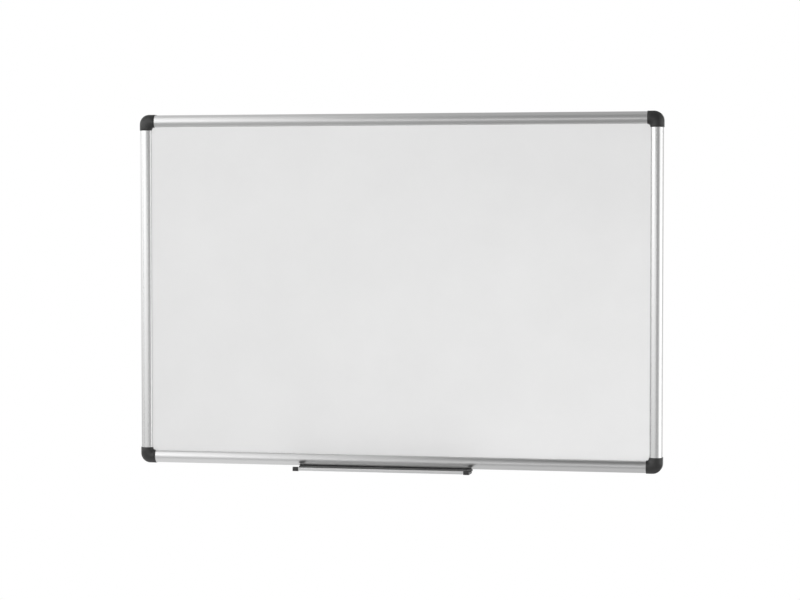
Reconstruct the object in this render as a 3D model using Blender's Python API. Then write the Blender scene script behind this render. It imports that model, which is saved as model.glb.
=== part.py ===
"""Wall-hung dry-wipe board: a glued steel and card panel in an aluminium frame, with a sliding pen tray.

The origin is on the wall, behind the middle of the board. X runs along the board, Y into the wall, Z up.
Depths are given as heights above the wall, so a height h lies at Y = -h.
"""
import math

import bmesh
import bpy
from mathutils import Vector

# Board, measured over the corner caps
BOARD_WIDTH = 0.900
BOARD_HEIGHT = 0.600
STANDOFF = 0.0020           # the wall pads hold the rails this far off the wall

# Clearances
FIT = 0.0003                # gap between neighbouring pieces, and each glue line
OVERRUN = 0.0020            # how far a cut runs past the face that it opens

# Panel, from the front to the back
WRITING_SHEET = 0.0005
CORE_BOARD = 0.0100
BACKING_SHEET = 0.0004
PANEL_PLAY = 0.0004         # between the panel's edge and the web of the rail
PANEL_CROP = 0.0100         # cut off each corner of the panel, clear of the wall screw

# Rail, one half-round extrusion
RAIL_FACE = 0.0205          # width seen from the front
RAIL_CREST_RISE = 0.0060    # crest above the writing surface
RAIL_CREST_IN = 0.0112      # crest in from the outer side
RAIL_ARC_RADIUS = 0.0125
RAIL_SHOULDER_RADIUS = 0.0050
RAIL_WALL = 0.0012
RAIL_CHAMBER = 0.0075       # width of the hollow that takes the key's leg
RAIL_LIP_FOOT = 0.0022      # flat foot of the lip that holds the panel
RAIL_FLANGE = 0.0175        # reach of the back flange from the outer side
RAIL_ARC_STEPS = 24

# Corner cap
CAP_PROUD = 0.0010          # the cap stands out of the rail's crest and outer side
CAP_LIP_PROUD = 0.0008      # and out of the rail's inner edge
CAP_WALL = 0.0016
CAP_LEG = 0.0271
CAP_CORNER_RADIUS = 0.0165
CAP_FILLET = 0.0038         # rounds the inner corner
CAP_OFF_WALL = 0.0005
CAP_TURN_STEPS = 10
CAP_ARC_STEPS = 14
PEG_RADIUS = 0.0015
PEG_DEPTH = 0.0060
PEG_ALONG = 0.0156          # place of a peg along one side of the corner
PEG_ACROSS = 0.0046         # and in from the other
ROUND_STEPS = 16

# Corner key
KEY_LEG_LENGTH = 0.0350
KEY_DROP = 0.0017           # the key's front below the springing of the rail's shoulder
WALL_HOLE_RADIUS = 0.0024
WALL_HOLE_INSET = 0.0096
COUNTERSINK_RADIUS = 0.0044

# Self-tapping screw
SCREW_LENGTH = 0.0070
SCREW_RADIUS = 0.0014
SCREW_HEAD_RADIUS = 0.0028
SCREW_HEAD_HEIGHT = 0.0013
SCREW_FROM_END = 0.0035     # from the end of its rail
SCREW_POINT = 0.0020

# Pen tray
TRAY_LENGTH = 0.3020        # over its end caps
TRAY_PLACE = -0.0190        # middle of the tray along the board
TRAY_REACH = 0.0380         # front of the lip ahead of the writing surface
TRAY_DROP = 0.0035          # floor below the underside of the rail
TRAY_WALL = 0.0012
TRAY_LIP_HEIGHT = 0.0054    # from the underside of the tray
TRAY_LIP_THICKNESS = 0.0016
TRAY_FRONT_RADIUS = 0.0012  # rounds the lower front edge
TRAY_HOOK_GRIP = 0.0011     # how far the hook lies over the end of the back flange
TRAY_CAP_PLATE = 0.0020
TRAY_CAP_LENGTH = 0.0093
TRAY_CAP_PROUD = 0.0009
TRAY_CAP_BLOCK = 0.0033     # depth of the block over the lip
TRAY_CAP_BASE = 0.0012      # lies on the tray's floor
TRAY_CAP_ROUND = 0.0018
TRAY_CAP_BACK = 0.0225      # its rear end, from the wall, just ahead of the rail
BUFFER_BACK = 0.0040        # rubber strip under the rail, from the wall
BUFFER_FRONT = 0.0180
BUFFER_RIB = 0.0004
BUFFER_RIB_PITCH = 0.0030

# Sizes that follow from those above
rail_box_width = BOARD_WIDTH - 2 * CAP_PROUD
rail_box_height = BOARD_HEIGHT - 2 * CAP_PROUD
rail_end = RAIL_FACE + FIT      # from the outer corner of the rails to a rail's end
back_h = STANDOFF
flange_h = back_h + RAIL_WALL
backing_h = flange_h + FIT
core_h = backing_h + BACKING_SHEET + FIT
sheet_h = core_h + CORE_BOARD + FIT
surface_h = sheet_h + WRITING_SHEET
crest_h = surface_h + RAIL_CREST_RISE
arc_h = crest_h - RAIL_ARC_RADIUS
shoulder_in = RAIL_CREST_IN - RAIL_SHOULDER_RADIUS
shoulder_gap = RAIL_ARC_RADIUS - RAIL_SHOULDER_RADIUS
shoulder_h = arc_h + math.sqrt(shoulder_gap ** 2 - shoulder_in ** 2)
shoulder_turn = math.acos(shoulder_in / shoulder_gap)     # where the shoulder's arc meets the front's
web_outer = RAIL_WALL + RAIL_CHAMBER
web_inner = web_outer + RAIL_WALL
panel_inset = web_inner + PANEL_PLAY
key_h = shoulder_h - KEY_DROP
screw_across = RAIL_WALL + RAIL_CHAMBER / 2
screw_along = rail_end + SCREW_FROM_END
screw_seat_h = back_h - FIT
screw_tip_h = screw_seat_h + SCREW_LENGTH


# Frames for outlines: a pair of outline values and a third value along the extrusion

def in_plan(a, b, h):
    """An outline in the plane of the board, extruded out of the wall."""
    return Vector((a, -h, b))


def along_rail(a, h, x):
    """A rail's section, a from its outer side and h above the wall, extruded along the rail."""
    return Vector((x, -h, a))


# Mesh tools

def clear_scene():
    for item in list(bpy.data.objects):
        bpy.data.objects.remove(item, do_unlink=True)


def finished(bm, name):
    """The bmesh as a mesh, its faces pointing out."""
    bmesh.ops.recalc_face_normals(bm, faces=bm.faces)
    mesh = bpy.data.meshes.new(name)
    bm.to_mesh(mesh)
    bm.free()
    return mesh


def prism_bmesh(outlines, low, high, place):
    """The area between the first outline and the holes in it, extruded from low to high."""
    bm = bmesh.new()
    edges = []
    for outline in outlines:
        ring = [bm.verts.new(place(a, b, low)) for a, b in outline]
        edges += [bm.edges.new((ring[i - 1], ring[i])) for i in range(len(ring))]
    bmesh.ops.triangle_fill(bm, edges=edges, use_beauty=True)
    grown = bmesh.ops.extrude_face_region(bm, geom=bm.faces[:])
    moved = [item for item in grown["geom"] if isinstance(item, bmesh.types.BMVert)]
    bmesh.ops.translate(bm, verts=moved, vec=place(0, 0, high) - place(0, 0, low))
    return bm


def prism(outlines, low, high, place, name="prism"):
    return finished(prism_bmesh(outlines, low, high, place), name)


def rod(a, b, radius, low, high, top_radius=None):
    """A round rod or cone standing out of the wall at the place a, b of the plan."""
    bm = bmesh.new()
    tip = radius if top_radius is None else top_radius
    bmesh.ops.create_cone(bm, cap_ends=True, segments=ROUND_STEPS, radius1=radius, radius2=tip, depth=high - low)
    for vert in bm.verts:
        vert.co = in_plan(a + vert.co.x, b + vert.co.y, (low + high) / 2 + vert.co.z)
    return finished(bm, "rod")


def carved(mesh, steps, name):
    """The mesh after a list of booleans: pairs of an operation and the mesh that it is done with."""
    body = bpy.data.objects.new(name, mesh)
    bpy.context.collection.objects.link(body)
    tools = []
    for operation, tool_mesh in steps:
        tool = bpy.data.objects.new("tool", tool_mesh)
        bpy.context.collection.objects.link(tool)
        modifier = body.modifiers.new(operation.lower(), "BOOLEAN")
        modifier.operation = operation
        modifier.solver = "EXACT"
        modifier.object = tool
        tools.append(tool)
    graph = bpy.context.evaluated_depsgraph_get()
    result = bpy.data.meshes.new_from_object(body.evaluated_get(graph))
    result.name = name
    for item in tools + [body]:
        bpy.data.objects.remove(item, do_unlink=True)
    return result


def material(name, colour, roughness, metallic):
    result = bpy.data.materials.new(name)
    result.use_nodes = True
    shader = result.node_tree.nodes["Principled BSDF"]
    shader.inputs["Base Color"].default_value = (*colour, 1.0)
    shader.inputs["Roughness"].default_value = roughness
    shader.inputs["Metallic"].default_value = metallic
    result.diffuse_color = (*colour, 1.0)
    return result


def add(name, mesh, finish, place=(0, 0, 0), turn=0, parent=None, smooth=False):
    """One named piece, at a place, turned about Y, on its parent."""
    if smooth:
        mesh.shade_smooth()
        mesh.set_sharp_from_angle(angle=math.radians(35))
    if not mesh.materials:
        mesh.materials.append(finish)
    piece = bpy.data.objects.new(name, mesh)
    piece.location = place
    piece.rotation_euler = (0, math.radians(turn), 0)
    piece.parent = parent
    bpy.context.collection.objects.link(piece)
    return piece


def empty(name, place=(0, 0, 0)):
    item = bpy.data.objects.new(name, None)
    item.location = place
    bpy.context.collection.objects.link(item)
    return item


# Corners: name, side along X, side along Z, turn about Y that brings the bottom left corner there
CORNERS = [
    ("bottom_left", -1, -1, 0),
    ("bottom_right", 1, -1, -90),
    ("top_right", 1, 1, 180),
    ("top_left", -1, 1, 90),
]


def corner_place(side_x, side_z):
    return (side_x * rail_box_width / 2, 0, side_z * rail_box_height / 2)


# Panel

def sheet_outline(inset):
    """Outline of the panel, its four corners cropped."""
    half_x = rail_box_width / 2 - inset
    half_z = rail_box_height / 2 - inset
    points = []
    for side_x, side_z in ((-1, -1), (1, -1), (1, 1), (-1, 1)):
        long_first = [(side_x * (half_x - PANEL_CROP), side_z * half_z),
                      (side_x * half_x, side_z * (half_z - PANEL_CROP))]
        points += long_first if side_x * side_z < 0 else reversed(long_first)
    return points


def add_panel(parent, lacquer, card, zinc):
    layers = [("backing_sheet", backing_h, BACKING_SHEET, zinc),
              ("core_board", core_h, CORE_BOARD, card),
              ("writing_sheet", sheet_h, WRITING_SHEET, lacquer)]
    for name, low, thickness, finish in layers:
        mesh = prism([sheet_outline(panel_inset)], low, low + thickness, in_plan, name)
        add(name, mesh, finish, parent=parent)


# Rails

def arch_turn(grow, a):
    """Angle of the rail's front, grown by an amount, at a distance from the outer side."""
    on_shoulder = (RAIL_SHOULDER_RADIUS - a) / (RAIL_SHOULDER_RADIUS + grow)
    if on_shoulder >= math.cos(shoulder_turn):
        return math.acos(min(on_shoulder, 1))
    return math.acos((RAIL_CREST_IN - a) / (RAIL_ARC_RADIUS + grow))


def arch_point(grow, turn):
    """Distance from the outer side and height of the rail's front, grown by an amount, at an angle."""
    if turn <= shoulder_turn:
        radius = RAIL_SHOULDER_RADIUS + grow
        return (RAIL_SHOULDER_RADIUS - radius * math.cos(turn), shoulder_h + radius * math.sin(turn))
    radius = RAIL_ARC_RADIUS + grow
    return (RAIL_CREST_IN - radius * math.cos(turn), arc_h + radius * math.sin(turn))


def arch(grow, first_a, last_a, steps):
    """Points of the rail's front, moved out by grow, from one distance to another from the outer side."""
    first = arch_turn(grow, first_a)
    last = arch_turn(grow, last_a)
    return [arch_point(grow, first + (last - first) * i / steps) for i in range(steps + 1)]


def rail_section():
    """Outer outline of the rail with its panel channel, and the outline of its closed chamber."""
    lip_h = surface_h + FIT
    foot = RAIL_FACE - RAIL_LIP_FOOT
    outer = [(0, back_h)] + arch(0, 0, RAIL_FACE, RAIL_ARC_STEPS)
    outer += [(RAIL_FACE, lip_h), (foot, lip_h)]
    outer += arch(-RAIL_WALL, foot, web_inner, RAIL_ARC_STEPS // 4)
    outer += [(web_inner, flange_h), (RAIL_FLANGE, flange_h), (RAIL_FLANGE, back_h)]
    chamber = [(RAIL_WALL, flange_h)] + arch(-RAIL_WALL, RAIL_WALL, web_outer, RAIL_ARC_STEPS // 3)
    chamber += [(web_outer, flange_h)]
    return [outer, chamber]


def rail_mesh(length, name):
    half = length / 2
    body = prism(rail_section(), -half, half, along_rail, name)
    from_middle = half - SCREW_FROM_END
    holes = [("DIFFERENCE", rod(x, screw_across, SCREW_RADIUS + FIT, back_h - OVERRUN, flange_h + FIT))
             for x in (-from_middle, from_middle)]
    return carved(body, holes, name)


def add_rails(parent, aluminium):
    long_mesh = rail_mesh(rail_box_width - 2 * rail_end, "long_rail")
    short_mesh = rail_mesh(rail_box_height - 2 * rail_end, "short_rail")
    half_x = rail_box_width / 2
    half_z = rail_box_height / 2
    add("rail_bottom", long_mesh, aluminium, (0, 0, -half_z), 0, parent, True)
    add("rail_top", long_mesh, aluminium, (0, 0, half_z), 180, parent, True)
    add("rail_left", short_mesh, aluminium, (-half_x, 0, 0), 90, parent, True)
    add("rail_right", short_mesh, aluminium, (half_x, 0, 0), -90, parent, True)


# Corner keys

def corner_arc(centre, radius, steps):
    """A quarter circle in plan, round from one side of the corner to the other."""
    turns = [math.radians(90) * i / steps for i in range(steps + 1)]
    return [(centre - radius * math.sin(t), centre - radius * math.cos(t)) for t in turns]


def key_block_outline():
    """Plan of the block between the rails' ends, cut off along the cropped corner of the panel."""
    arc_centre = CAP_CORNER_RADIUS - CAP_PROUD
    radius = CAP_CORNER_RADIUS - CAP_WALL - FIT
    side = arc_centre - radius
    end = rail_end - FIT
    diagonal = 2 * panel_inset + PANEL_CROP - FIT * math.sqrt(2)
    points = corner_arc(arc_centre, radius, CAP_TURN_STEPS)
    return [(end, side)] + points + [(side, end), (diagonal - end, end), (end, diagonal - end)]


def key_leg_outline(flip):
    """Plan of one leg, from inside the block to its end in the rail's chamber."""
    low = RAIL_WALL + FIT
    high = web_outer - FIT
    start = rail_end - FIT - OVERRUN
    end = rail_end + KEY_LEG_LENGTH
    points = [(start, low), (end, low), (end, high), (start, high)]
    return [(b, a) for a, b in points] if flip else points


def add_keys(parent, nylon):
    block = prism([key_block_outline()], 0, key_h, in_plan)
    leg_low = flange_h + FIT
    legs = [("UNION", prism([key_leg_outline(flip)], leg_low, key_h - FIT, in_plan)) for flip in (False, True)]
    pilot_top = screw_tip_h + 2 * FIT
    pilot_radius = SCREW_RADIUS + FIT
    pilots = [("DIFFERENCE", rod(a, b, pilot_radius, leg_low - OVERRUN, pilot_top))
              for a, b in ((screw_along, screw_across), (screw_across, screw_along))]
    peg_bottom = key_h - PEG_DEPTH - FIT
    sockets = [("DIFFERENCE", rod(a, b, PEG_RADIUS + FIT, peg_bottom, key_h + OVERRUN))
               for a, b in ((PEG_ALONG, PEG_ACROSS), (PEG_ACROSS, PEG_ALONG))]
    inset = WALL_HOLE_INSET
    sink = COUNTERSINK_RADIUS - WALL_HOLE_RADIUS
    screw_way = [("DIFFERENCE", rod(inset, inset, WALL_HOLE_RADIUS, -OVERRUN, key_h + OVERRUN)),
                 ("DIFFERENCE", rod(inset, inset, WALL_HOLE_RADIUS, key_h - sink, key_h + OVERRUN,
                                    COUNTERSINK_RADIUS + OVERRUN))]
    mesh = carved(block, legs + pilots + sockets + screw_way, "corner_key")
    for name, side_x, side_z, turn in CORNERS:
        add("corner_key_" + name, mesh, nylon, corner_place(side_x, side_z), turn, parent)


# Corner caps

def cap_profile(inset):
    """Shares of the way from the outer to the inner edge of the cap, and heights, over its arch."""
    outer = inset - CAP_PROUD
    inner = RAIL_FACE + CAP_LIP_PROUD - inset
    points = arch(CAP_PROUD - inset, outer, inner, CAP_ARC_STEPS)
    return [((a - outer) / (inner - outer), h) for a, h in points]


def cap_stations(inset):
    """Pairs of plan points on the outer and the inner edge, from one leg's end to the other's."""
    end = CAP_LEG - CAP_PROUD - inset
    outer = inset - CAP_PROUD
    inner = RAIL_FACE + CAP_LIP_PROUD - inset
    outer_turn = corner_arc(CAP_CORNER_RADIUS - CAP_PROUD, CAP_CORNER_RADIUS - inset, CAP_TURN_STEPS)
    fillet = CAP_FILLET + inset
    inner_turn = corner_arc(inner + fillet, fillet, CAP_TURN_STEPS)
    turn = list(zip(outer_turn, inner_turn))
    return [((end, outer), (end, inner))] + turn + [((outer, end), (inner, end))]


def cap_solid(inset, low):
    """A solid of the cap's form, all its faces moved in by the inset, down to a height low."""
    bm = bmesh.new()
    profile = cap_profile(inset)
    profile = [(0, low)] + profile + [(1, low)]
    rings = []
    for (outer_a, outer_b), (inner_a, inner_b) in cap_stations(inset):
        ring = [bm.verts.new(in_plan(outer_a + share * (inner_a - outer_a),
                                     outer_b + share * (inner_b - outer_b), h)) for share, h in profile]
        rings.append(ring)
    loops = [[bm.edges.new((ring[i - 1], ring[i])) for i in range(len(ring))] for ring in rings]
    for first, second in zip(loops, loops[1:]):
        bmesh.ops.bridge_loops(bm, edges=first + second)
    bm.faces.new(rings[0])
    bm.faces.new(rings[-1])
    return finished(bm, "cap_solid")


def rail_cover_outline():
    """Section of the space that a rail takes inside the cap, with its clearance, open to the back."""
    low = -OVERRUN
    points = arch(FIT, -FIT, RAIL_FACE + FIT, CAP_ARC_STEPS)
    return [(-FIT, low)] + points + [(RAIL_FACE + FIT, low)]


def along_side(a, h, x):
    """Section of the rail on the other side of the corner."""
    return Vector((a, -h, x))


def cap_mesh():
    body = cap_solid(0, CAP_OFF_WALL)
    hollow = [("DIFFERENCE", cap_solid(CAP_WALL, -OVERRUN))]
    peg_low = key_h - PEG_DEPTH
    peg_high = crest_h + CAP_PROUD - CAP_WALL
    pegs = [("UNION", rod(a, b, PEG_RADIUS, peg_low, peg_high))
            for a, b in ((PEG_ALONG, PEG_ACROSS), (PEG_ACROSS, PEG_ALONG))]
    start = rail_end - FIT
    end = CAP_LEG + OVERRUN
    rails = [("DIFFERENCE", prism([rail_cover_outline()], start, end, place)) for place in (along_rail, along_side)]
    near = panel_inset - FIT
    panel = [(near, near), (end, near), (end, end), (near, end)]
    clear = [("DIFFERENCE", prism([panel], -OVERRUN, surface_h + FIT, in_plan))]
    return carved(body, hollow + pegs + rails + clear, "corner_cap")


def add_caps(abs_plastic):
    mesh = cap_mesh()
    for name, side_x, side_z, turn in CORNERS:
        place = corner_place(side_x, side_z)
        pull = empty("pull_" + name, place)
        add("corner_cap_" + name, mesh, abs_plastic, (0, 0, 0), turn, pull, True)


# Screws

def screw_mesh():
    """A pan head and a pointed shank, turned about the screw's axis, its point away from the wall."""
    head_low = screw_seat_h - SCREW_HEAD_HEIGHT
    radius = SCREW_HEAD_RADIUS
    crown_share, shoulder_share = 0.6, 0.4
    outline = [(0, head_low),
               (radius * crown_share, head_low),
               (radius, head_low + SCREW_HEAD_HEIGHT * shoulder_share),
               (radius, screw_seat_h),
               (SCREW_RADIUS, screw_seat_h),
               (SCREW_RADIUS, screw_tip_h - SCREW_POINT),
               (0, screw_tip_h)]
    bm = bmesh.new()
    line = [bm.verts.new((r, -h, 0)) for r, h in outline]
    edges = [bm.edges.new(pair) for pair in zip(line, line[1:])]
    bmesh.ops.spin(bm, geom=line + edges, axis=(0, 1, 0), cent=(0, 0, 0), steps=ROUND_STEPS,
                   angle=math.radians(360), use_merge=True)
    bmesh.ops.remove_doubles(bm, verts=bm.verts, dist=FIT / 10)
    return finished(bm, "frame_screw")


def add_screws(parent, steel):
    mesh = screw_mesh()
    half_x = rail_box_width / 2
    half_z = rail_box_height / 2
    for side, side_name in ((-1, "bottom"), (1, "top")):
        z = side * (half_z - screw_across)
        for end, end_name in ((-1, "left"), (1, "right")):
            place = (end * (half_x - screw_along), 0, z)
            add(f"screw_{side_name}_rail_{end_name}_end", mesh, steel, place, 0, parent, True)
    for side, side_name in ((-1, "left"), (1, "right")):
        x = side * (half_x - screw_across)
        for end, end_name in ((-1, "bottom"), (1, "top")):
            place = (x, 0, end * (half_z - screw_along))
            add(f"screw_{side_name}_rail_{end_name}_end", mesh, steel, place, 0, parent, True)


# Pen tray: sections are pairs of a height above the wall and a height above the underside of the rail

tray_front_h = surface_h + TRAY_REACH
tray_floor = -TRAY_DROP
tray_under = tray_floor - TRAY_WALL
tray_lip_top = tray_under + TRAY_LIP_HEIGHT
tray_leg_h = back_h - FIT - TRAY_WALL       # back face of the rear leg
tray_hook = RAIL_FLANGE + FIT               # underside of the hook, over the end of the back flange
tray_hook_h = back_h + TRAY_HOOK_GRIP
ROUND_POINTS = 4


def along_tray(h, z, x):
    """A section of the tray, extruded along it."""
    return Vector((x, -h, z))


def rounding(h, z, radius, start, stop):
    """Points on an arc about h, z from one angle to another, in degrees."""
    turns = [math.radians(start + (stop - start) * i / ROUND_POINTS) for i in range(ROUND_POINTS + 1)]
    return [(h + radius * math.cos(t), z + radius * math.sin(t)) for t in turns]


def tray_section(grow=0):
    """The tray's wall: hook, rear leg, floor and front lip, all its faces moved out by grow."""
    front = tray_front_h + grow
    half_lip = TRAY_LIP_THICKNESS / 2 + grow
    corner = TRAY_FRONT_RADIUS + grow
    points = [(tray_hook_h + grow, tray_hook - grow),
              (tray_hook_h + grow, tray_hook + TRAY_WALL + grow),
              (tray_leg_h - grow, tray_hook + TRAY_WALL + grow),
              (tray_leg_h - grow, tray_under - grow)]
    points += rounding(front - corner, tray_under - grow + corner, corner, -90, 0)
    points += rounding(front - half_lip, tray_lip_top + grow - half_lip, half_lip, 0, 180)
    points += [(front - 2 * half_lip, tray_floor + grow),
               (tray_leg_h + TRAY_WALL + grow, tray_floor + grow),
               (tray_leg_h + TRAY_WALL + grow, tray_hook - grow)]
    return points


def add_channel(parent, aluminium):
    half = TRAY_LENGTH / 2 - TRAY_CAP_PLATE - FIT
    mesh = prism([tray_section()], -half, half, along_tray, "tray_channel")
    add("tray_channel", mesh, aluminium, parent=parent, smooth=True)


def buffer_section():
    """A rubber strip between the floor and the rail, with ribs along its top."""
    base = tray_floor + FIT
    high = -FIT
    low = high - BUFFER_RIB
    count = int((BUFFER_FRONT - BUFFER_BACK) / BUFFER_RIB_PITCH)
    pitch = (BUFFER_FRONT - BUFFER_BACK) / count
    points = [(BUFFER_BACK, base), (BUFFER_FRONT, base)]
    for i in range(count):
        rib = BUFFER_FRONT - i * pitch
        points += [(rib, high), (rib - pitch / 2, high), (rib - pitch / 2, low), (rib - pitch, low)]
    return points


def add_buffer(parent, rubber):
    half = TRAY_LENGTH / 2 - TRAY_CAP_PLATE - FIT
    mesh = prism([buffer_section()], -half, half, along_tray, "tray_buffer")
    add("tray_buffer", mesh, rubber, parent=parent)


def end_cap_outline():
    """Side view of an end cap: a block over the lip, and a low base round the floor, back to the rail."""
    front = tray_front_h + TRAY_CAP_PROUD
    under = tray_under - TRAY_CAP_PROUD
    top = tray_lip_top + TRAY_CAP_PROUD
    base = tray_floor + FIT + TRAY_CAP_BASE
    block = front - TRAY_CAP_PROUD - TRAY_CAP_BLOCK
    round_out = TRAY_CAP_ROUND
    points = rounding(front - round_out, under + round_out, round_out, -90, 0)
    points += rounding(front - round_out, top - round_out, round_out, 0, 90)
    points += [(block, top), (block, base), (TRAY_CAP_BACK, base), (TRAY_CAP_BACK, under)]
    return points


def end_cap_mesh(side):
    """The cap for the end on one side: its plate is outside, its sleeve over the channel."""
    outside = side * TRAY_LENGTH / 2
    inside = outside - side * TRAY_CAP_LENGTH
    plate = outside - side * TRAY_CAP_PLATE
    bm = prism_bmesh([end_cap_outline()], inside, outside, along_tray)
    body = finished(bm, "tray_end_cap")
    slot = prism([tray_section(FIT)], inside - side * OVERRUN, plate, along_tray)
    return carved(body, [("DIFFERENCE", slot)], "tray_end_cap")


def add_end_caps(parent, abs_plastic):
    for side, name in ((-1, "left"), (1, "right")):
        add("tray_end_cap_" + name, end_cap_mesh(side), abs_plastic, parent=parent, smooth=True)


def build():
    clear_scene()
    lacquer = material("lacquered steel", (0.78, 0.78, 0.77), 0.18, 0.0)
    card = material("honeycomb card", (0.47, 0.33, 0.19), 0.9, 0.0)
    zinc = material("galvanised steel", (0.56, 0.57, 0.58), 0.45, 1.0)
    aluminium = material("anodised aluminium", (0.76, 0.76, 0.77), 0.32, 1.0)
    abs_plastic = material("black abs", (0.03, 0.03, 0.032), 0.38, 0.0)
    nylon = material("grey nylon", (0.30, 0.30, 0.30), 0.55, 0.0)
    steel = material("plated steel", (0.62, 0.61, 0.58), 0.3, 1.0)
    rubber = material("black rubber", (0.02, 0.02, 0.02), 0.8, 0.0)
    frame = empty("board_frame")
    add_panel(frame, lacquer, card, zinc)
    add_rails(frame, aluminium)
    add_keys(frame, nylon)
    add_screws(frame, steel)
    add_caps(abs_plastic)
    tray = empty("tray_slide", (TRAY_PLACE, 0, -rail_box_height / 2))
    add_channel(tray, aluminium)
    add_buffer(tray, rubber)
    add_end_caps(tray, abs_plastic)


build()
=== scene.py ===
import math

import bmesh
import bpy
from mathutils import Matrix, Vector


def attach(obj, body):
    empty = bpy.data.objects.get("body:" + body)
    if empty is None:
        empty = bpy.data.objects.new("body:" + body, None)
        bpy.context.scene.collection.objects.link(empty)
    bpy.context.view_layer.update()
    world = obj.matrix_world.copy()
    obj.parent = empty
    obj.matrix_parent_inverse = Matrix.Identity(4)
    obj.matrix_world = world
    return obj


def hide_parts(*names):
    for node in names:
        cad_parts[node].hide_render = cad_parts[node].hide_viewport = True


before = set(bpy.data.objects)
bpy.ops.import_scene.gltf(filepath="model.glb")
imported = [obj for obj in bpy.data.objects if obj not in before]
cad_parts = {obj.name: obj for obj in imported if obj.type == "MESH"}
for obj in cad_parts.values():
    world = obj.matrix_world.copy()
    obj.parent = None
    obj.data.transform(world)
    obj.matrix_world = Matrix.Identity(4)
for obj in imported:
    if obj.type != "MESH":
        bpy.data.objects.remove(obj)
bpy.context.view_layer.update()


# Panel. The core is honeycomb card, glued between a zinc-coated steel back and the steel writing sheet, which
# is coated with a hard glossy grey-white lacquer and baked. The frame's channel grips its edge all round.

def linear(code):
    """An sRGB hex colour as linear red, green, blue and alpha."""
    shares = [int(code[i:i + 2], 16) / 255 for i in (0, 2, 4)]
    return [s / 12.92 if s <= 0.04045 else ((s + 0.055) / 1.055) ** 2.4 for s in shares] + [1.0]


def feed(finish, node, inputs):
    """Sets a node's inputs, each to a value or to another node's output."""
    for name, value in inputs.items():
        if isinstance(value, bpy.types.NodeSocket):
            finish.node_tree.links.new(value, node.inputs[name])
        else:
            node.inputs[name].default_value = value


def add_node(finish, kind, output, inputs, **settings):
    """Adds a node with its settings and links to a finish, and gives one of its outputs."""
    node = finish.node_tree.nodes.new("ShaderNode" + kind)
    for name, value in settings.items():
        setattr(node, name, value)
    feed(finish, node, inputs)
    return node.outputs[output]


def new_finish(name):
    """A new finish, and its object coordinates in metres."""
    finish = bpy.data.materials.new(name)
    finish.use_nodes = True
    return finish, add_node(finish, "TexCoord", "Object", {})


def coat(node, finish):
    """Gives a CAD node its finish."""
    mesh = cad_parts[node].data
    mesh.materials.clear()
    mesh.materials.append(finish)


# Hot-dip galvanised steel: crystals of zinc about 7 mm across, each a little lighter or duller than the next.
CRYSTAL = 0.007
galvanised, place = new_finish("galvanised_steel")
crystals = add_node(galvanised, "TexVoronoi", "Color", {"Vector": place, "Scale": 1 / CRYSTAL})
tone = add_node(galvanised, "SeparateColor", "Red", {"Color": crystals})
gloss = add_node(galvanised, "SeparateColor", "Green", {"Color": crystals})
ripple = add_node(galvanised, "TexNoise", "Fac", {"Vector": place, "Scale": 3 / CRYSTAL})
feed(galvanised, galvanised.node_tree.nodes["Principled BSDF"], {
    "Base Color": add_node(galvanised, "Mix", 2, {"Factor": tone, 6: linear("9B9DA0"), 7: linear("B2B4B6")},
                           data_type="RGBA"),
    "Roughness": add_node(galvanised, "MapRange", "Result", {"Value": gloss, "To Min": 0.40, "To Max": 0.52}),
    "Metallic": 1.0,
    "Normal": add_node(galvanised, "Bump", "Normal", {"Height": ripple, "Distance": 0.00004})})
coat("backing_sheet", galvanised)

# Unbleached card: the walls of its cells show as fine lines along the cut edge.
CELL = 0.008
FIBRE = 0.0015
honeycomb, place = new_finish("honeycomb_card")
# The colour darkens away from the cell walls towards each cell's middle: painted shade in the hollow cells.
walls = add_node(honeycomb, "TexVoronoi", "Distance", {"Vector": place, "Scale": 1 / CELL},
                 feature="DISTANCE_TO_EDGE")
fibre = add_node(honeycomb, "TexNoise", "Fac", {"Vector": place, "Scale": 1 / FIBRE, "Detail": 4.0})
feed(honeycomb, honeycomb.node_tree.nodes["Principled BSDF"], {
    "Base Color": add_node(honeycomb, "Mix", 2, {"Factor": walls, 6: linear("BC9C72"), 7: linear("7E6040")},
                           data_type="RGBA"),
    "Roughness": 0.9,
    "Normal": add_node(honeycomb, "Bump", "Normal", {"Height": fibre, "Distance": 0.0001})})
coat("core_board", honeycomb)

# Baked lacquer, hard and glossy. Wiping leaves faint cloudy ghosts of ink in it and slightly duller streaks.
# The roller's orange peel, about 2 mm across, makes its reflections a little uneven.
GHOST = 0.13
STREAK_LENGTH, STREAK_WIDTH = 0.20, 0.025
STREAK_SHIFT = (0, 0.4, 0)  # picks the part of the pattern that falls on the board
PEEL = 0.002
lacquer, place = new_finish("lacquered_steel")
ghosts = add_node(lacquer, "TexNoise", "Fac", {"Vector": place, "Scale": 1 / GHOST, "Detail": 4.0,
                                               "Roughness": 0.6})
strokes = add_node(lacquer, "Mapping", "Vector", {
    "Vector": place, "Location": STREAK_SHIFT,
    "Scale": (1 / STREAK_LENGTH, 1 / STREAK_LENGTH, 1 / STREAK_WIDTH)})
streaks = add_node(lacquer, "TexNoise", "Fac", {"Vector": strokes, "Scale": 1.0, "Detail": 2.0})
peel = add_node(lacquer, "TexNoise", "Fac", {"Vector": place, "Scale": 1 / PEEL})
feed(lacquer, lacquer.node_tree.nodes["Principled BSDF"], {
    "Base Color": add_node(lacquer, "Mix", 2, {"Factor": ghosts, 6: linear("DFDFDF"), 7: linear("E7E7E7")},
                           data_type="RGBA"),
    "Roughness": add_node(lacquer, "MapRange", "Result", {"Value": streaks, "To Min": 0.29, "To Max": 0.37}),
    "Normal": add_node(lacquer, "Bump", "Normal", {"Height": peel, "Distance": 0.000004})})
coat("writing_sheet", lacquer)


# Frame rails. One aluminium extrusion with a rounded front, a closed chamber for the corner key's leg and a
# channel for the panel, cut square to length and anodised satin silver. Two screws hold it to the keys.

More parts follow.
